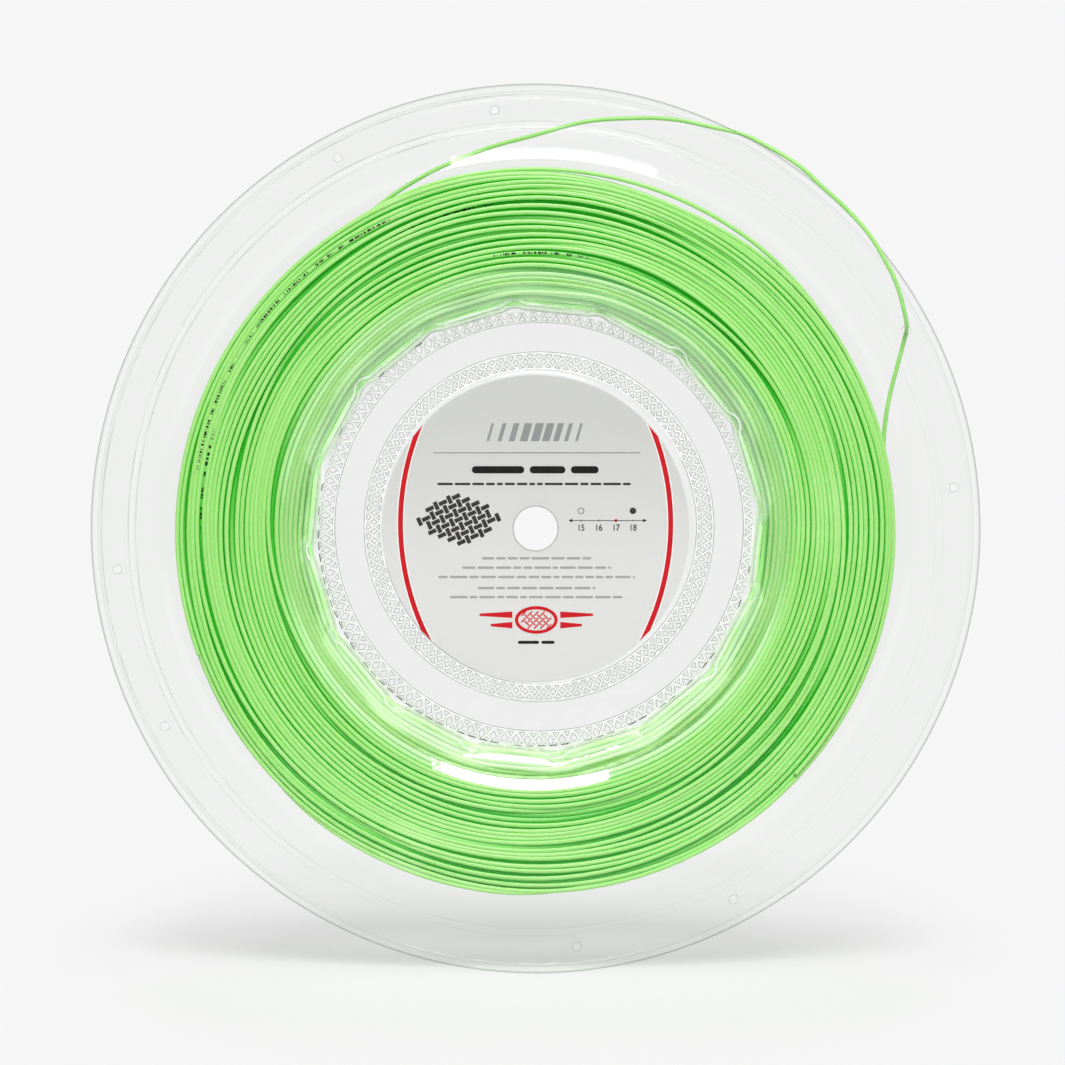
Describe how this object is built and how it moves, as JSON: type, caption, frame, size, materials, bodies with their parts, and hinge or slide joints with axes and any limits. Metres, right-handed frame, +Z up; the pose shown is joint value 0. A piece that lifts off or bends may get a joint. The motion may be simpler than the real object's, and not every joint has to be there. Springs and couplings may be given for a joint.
{
  "type": "string reel",
  "caption": "Clear two-shell reel with a fluted hub, stepped flanges and a spindle hole, wound with light green racket string whose free end is tucked through a rim hole.",
  "frame": {"origin": "centre of the spindle hole, in the middle plane between the two shells", "axes": "+Y along the reel's axis from the front shell to the rear shell, +Z up, +X to the right seen from the front"},
  "size_m": [0.255, 0.0216, 0.255],
  "materials": {
    "clear_sheet": "clear, glossy, thin moulded sheet",
    "printed_card": "coated card, satin",
    "string_inner": "monofilament in shade",
    "string": "smooth monofilament"
  },
  "bodies": {
    "root": {"front_shell": "clear_sheet", "rear_shell": "clear_sheet", "label_card": "printed_card", "string_pack": "string_inner", "string_turns": "string", "string_tail": "string"}
  },
  "joints": []
}
